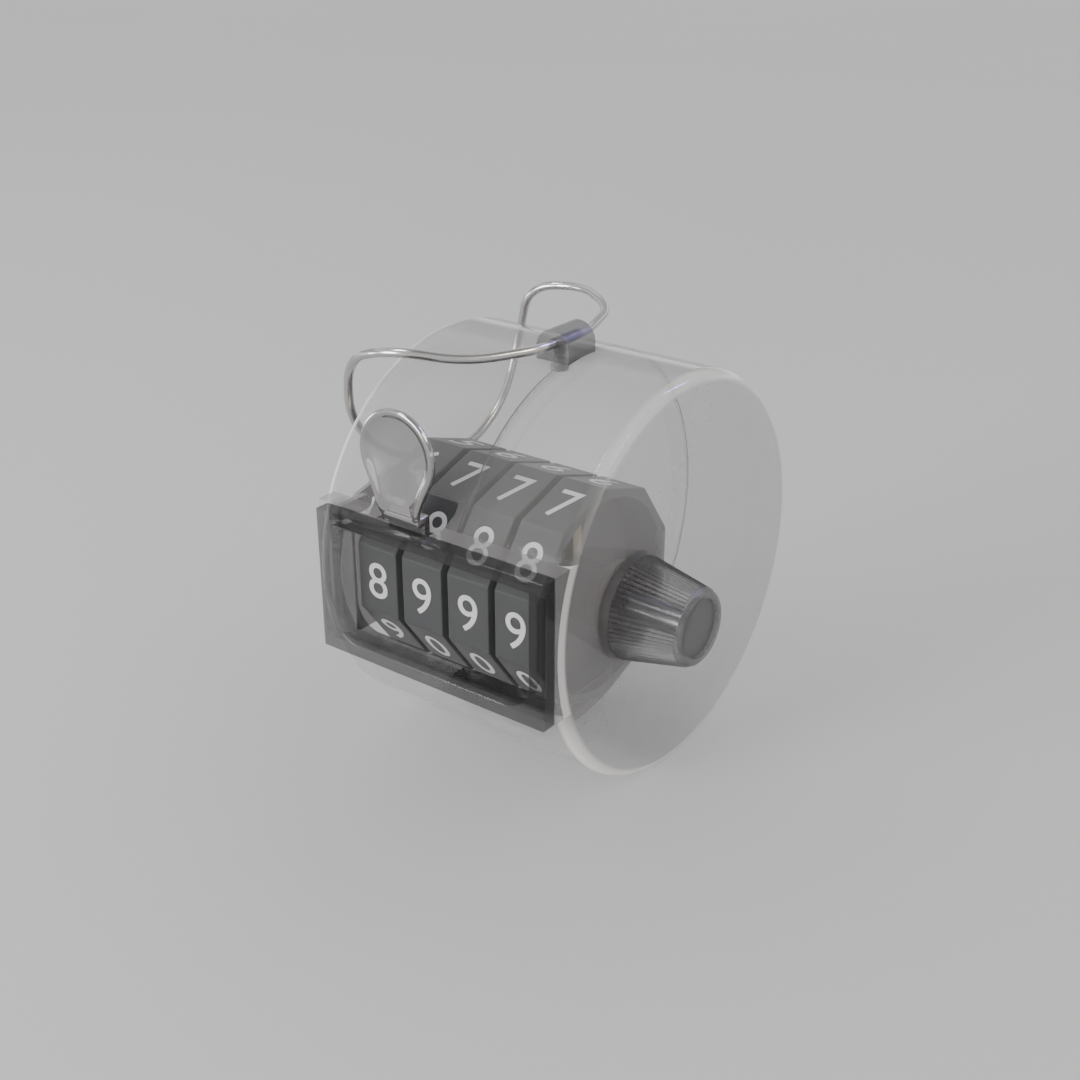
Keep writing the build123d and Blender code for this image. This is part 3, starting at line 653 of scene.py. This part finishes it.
# %% Turn text into thin meshes
DIGIT_HEIGHT = 4.1 * MM
DIGIT_THICK = 0.03 * MM
CURVE_STEPS = 8


def digit_mesh(value):
    """Thin digit in its own plane: X across, Y up, centred."""
    text = bpy.data.curves.new("digit", "FONT")
    text.body = str(value)
    text.extrude = 0.5
    text.resolution_u = CURVE_STEPS
    holder = bpy.data.objects.new("digit", text)
    bpy.context.collection.objects.link(holder)
    bpy.context.view_layer.update()
    depsgraph = bpy.context.evaluated_depsgraph_get()
    mesh = bpy.data.meshes.new_from_object(holder.evaluated_get(depsgraph))
    bpy.data.objects.remove(holder)
    bpy.data.curves.remove(text)
    xs = [v.co.x for v in mesh.vertices]
    ys = [v.co.y for v in mesh.vertices]
    scale = DIGIT_HEIGHT / (max(ys) - min(ys))
    centring = (-(max(xs) + min(xs)) / 2, -(max(ys) + min(ys)) / 2, 0)
    mesh.transform(Matrix.Translation(centring))
    mesh.transform(Matrix.Diagonal((scale, scale, DIGIT_THICK, 1)))
    return mesh


glyphs = [digit_mesh(value) for value in range(10)]
print(len(glyphs), "digit shapes")

# %% [markdown]
# ## Digits on the wheels
# Each number wheel has ten flat facets with one digit on each, and the one that faces the
# window is the one to read. Every digit is stood up in front of the wheel and turned round
# its axis by its own number of facets. All ten make one piece, which rides on the wheel.

# %% Print the digits on the wheels
white = finish("white_digit", (0.74, 0.74, 0.74), 0.5, bump=0.01)
SHOWN = (8, 9, 9, 9)
DIGIT_LIFT = 0.01 * MM
DIGIT_WELD = 1e-7
FACET_ANGLE = 2 * pi / 10

for k, shown in zip(WHEELS, SHOWN):
    low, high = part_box(f"number_wheel_{k}")
    centre = (low + high) / 2
    facet_out = (high.y - low.y) / 2 + DIGIT_LIFT
    bm = bmesh.new()
    for value, glyph in enumerate(glyphs):
        turned = glyph.copy()
        stand = Matrix.Translation((0, -facet_out, 0)) @ Matrix.Rotation(pi / 2, 4, "X")
        around = Matrix.Rotation((value - shown) * FACET_ANGLE, 4, "X")
        turned.transform(Matrix.Translation(centre) @ around @ stand)
        bm.from_mesh(turned)
        bpy.data.meshes.remove(turned)
    bmesh.ops.remove_doubles(bm, verts=bm.verts, dist=DIGIT_WELD)
    digits = add_piece(f"digits_{k}", bm, f"wheel_{k}", white)
    print("wheel", k, "shows", shown, "with", len(digits.data.polygons), "faces of digits")

# %% [markdown]
# ## Floor
# The counter stands on a wide pale sheet of paper. One large flat face at the height of
# the drum's lowest point is enough, since nothing of its edge is seen from near by.

# %% Pale floor
FLOOR_HALF = 6.0
bm = bmesh.new()
bmesh.ops.create_grid(bm, x_segments=1, y_segments=1, size=FLOOR_HALF)
bmesh.ops.translate(bm, verts=bm.verts, vec=(0, 0, cad_box[0][2]))
pale = finish("pale_floor", (0.8, 0.8, 0.8), 0.9, grain=3.0, uneven=0.05)
floor = make_object("floor", bm, pale)
print("floor at z", round(cad_box[0][2] / MM, 2), "mm")

# %% [markdown]
# ## Sky
# A studio is a room of bright and dark surfaces, and gloss is only as lively as what it
# mirrors. A plain grey sky would leave the plastic dull, and a picture of a room would
# bring in a file. Bands of grey that change with height give the mirror something soft.

# %% Banded studio sky
SKY_STRENGTH = 1.32
SKY_BLUE = 1.01
SKY_BANDS = (
    (0.0, 1.5),
    (0.1, 1.2),
    (0.16, 0.4),
    (0.4, 0.45),
    (0.48, 1.15),
    (0.62, 0.75),
    (1.0, 0.25),
)
world = bpy.data.worlds.new("studio")
bpy.context.scene.world = world
world.use_nodes = True
background = world.node_tree.nodes["Background"]
background.inputs["Strength"].default_value = SKY_STRENGTH
looking = node(world, "ShaderNodeTexCoord").outputs["Generated"]
height = node(world, "ShaderNodeSeparateXYZ", None, looking).outputs["Z"]
rise = node(world, "ShaderNodeValToRGB", None, height)
bands = rise.color_ramp.elements
bands.remove(bands[1])
for at, level in SKY_BANDS:
    band = bands[0] if at == 0.0 else bands.new(at)
    band.color = (level, level, level * SKY_BLUE, 1)
plug(world, background.inputs["Color"], rise.outputs["Color"])
print("sky bands", len(bands))

# %% [markdown]
# ## Lights
# One soft lamp from the front left lights everything. The other four are like the cards a
# photographer holds up to put a glint on a rim, so they are seen only in gloss and
# don't light the floor.

# %% Soft lamp and cards
CARDS = (
    # name, place, size, power, color, aim
    ("rim_card", (0.287, 0.02, 0.258), (0.12, 0.12), 0.5, (1.0, 0.9, 0.72), (0.03, -0.01, 0.02)),
    ("violet_strip", (0.2, 0.3, 0.3), (0.03, 0.2), 0.9, (0.4, 0.35, 1.0), (0.02, 0, 0.02)),
    (
        "dish_card",
        (-0.16, -0.118, -0.012),
        (0.05, 0.05),
        0.09,
        (0.95, 0.93, 1.0),
        (0.014, -0.023, 0.014),
    ),
    ("top_card", (-0.1, -0.12, 0.35), (0.1, 0.1), 0.5, (0.95, 0.97, 1.0), (0.01, -0.02, 0.01)),
)


def soft_light(name, place, size, power, color=(1, 1, 1), aim=(0.016, 0, 0), gloss_only=False):
    """Rectangular light at a place, aimed at a point of the drum."""
    light = bpy.data.lights.new(name, "AREA")
    light.shape = "RECTANGLE"
    light.size, light.size_y = size
    light.energy = power
    light.color = color
    lamp = bpy.data.objects.new(name, light)
    lamp.location = place
    lamp.rotation_euler = (Vector(place) - Vector(aim)).to_track_quat("Z", "Y").to_euler()
    lamp.visible_camera = False
    lamp.visible_diffuse = not gloss_only
    bpy.context.collection.objects.link(lamp)


soft_light("front_key", (-0.2, -0.55, 0.09), (0.25, 0.2), 2.6)
for card in CARDS:
    soft_light(*card, gloss_only=True)
print("lights", len(bpy.data.lights))

# %% [markdown]
# ## Camera
# A normal lens looks down on the counter from the front right, near enough for its
# window, lever and knob to be seen together.

# %% Camera
camera = bpy.data.cameras.new("camera")
camera.lens = 50
camera.sensor_width = 36
viewpoint = bpy.data.objects.new("camera", camera)
viewpoint.location = (0.10668, -0.12374, 0.07167)
viewpoint.rotation_euler = (radians(64.92), 0, radians(37.116))
bpy.context.collection.objects.link(viewpoint)
bpy.context.scene.camera = viewpoint
print("camera lens", camera.lens, "mm")
